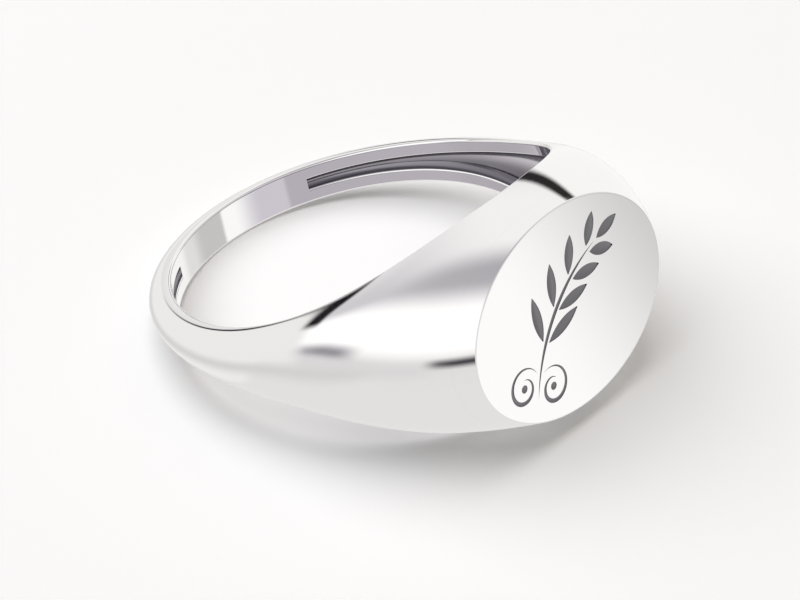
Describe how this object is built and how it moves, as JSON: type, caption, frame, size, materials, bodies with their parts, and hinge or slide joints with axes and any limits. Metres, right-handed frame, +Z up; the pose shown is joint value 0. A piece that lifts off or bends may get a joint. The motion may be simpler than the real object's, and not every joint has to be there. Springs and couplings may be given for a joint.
{
  "type": "signet ring",
  "caption": "Small polished silver signet ring with an oval flat face, tapering shoulders and a slim half-round band, lying on its side.",
  "frame": {"origin": "middle of the base of the ring's box, on the surface it lies on", "axes": "+Z up from the surface it lies on, the flat face looks towards -Y and a little up, +X across the finger; the finger's axis leans back from +Z towards +Y"},
  "size_m": [0.0196, 0.0218, 0.0099],
  "materials": {
    "silver": "high polish",
    "solder": "high polish, filed flush",
    "oxide": "oxidised, satin"
  },
  "bodies": {
    "root": {"shank": "silver", "head": "silver", "table_plate": "silver", "engraving_inlay": "oxide", "shank_solder_seams": "solder", "table_solder_seam": "solder"}
  },
  "joints": []
}
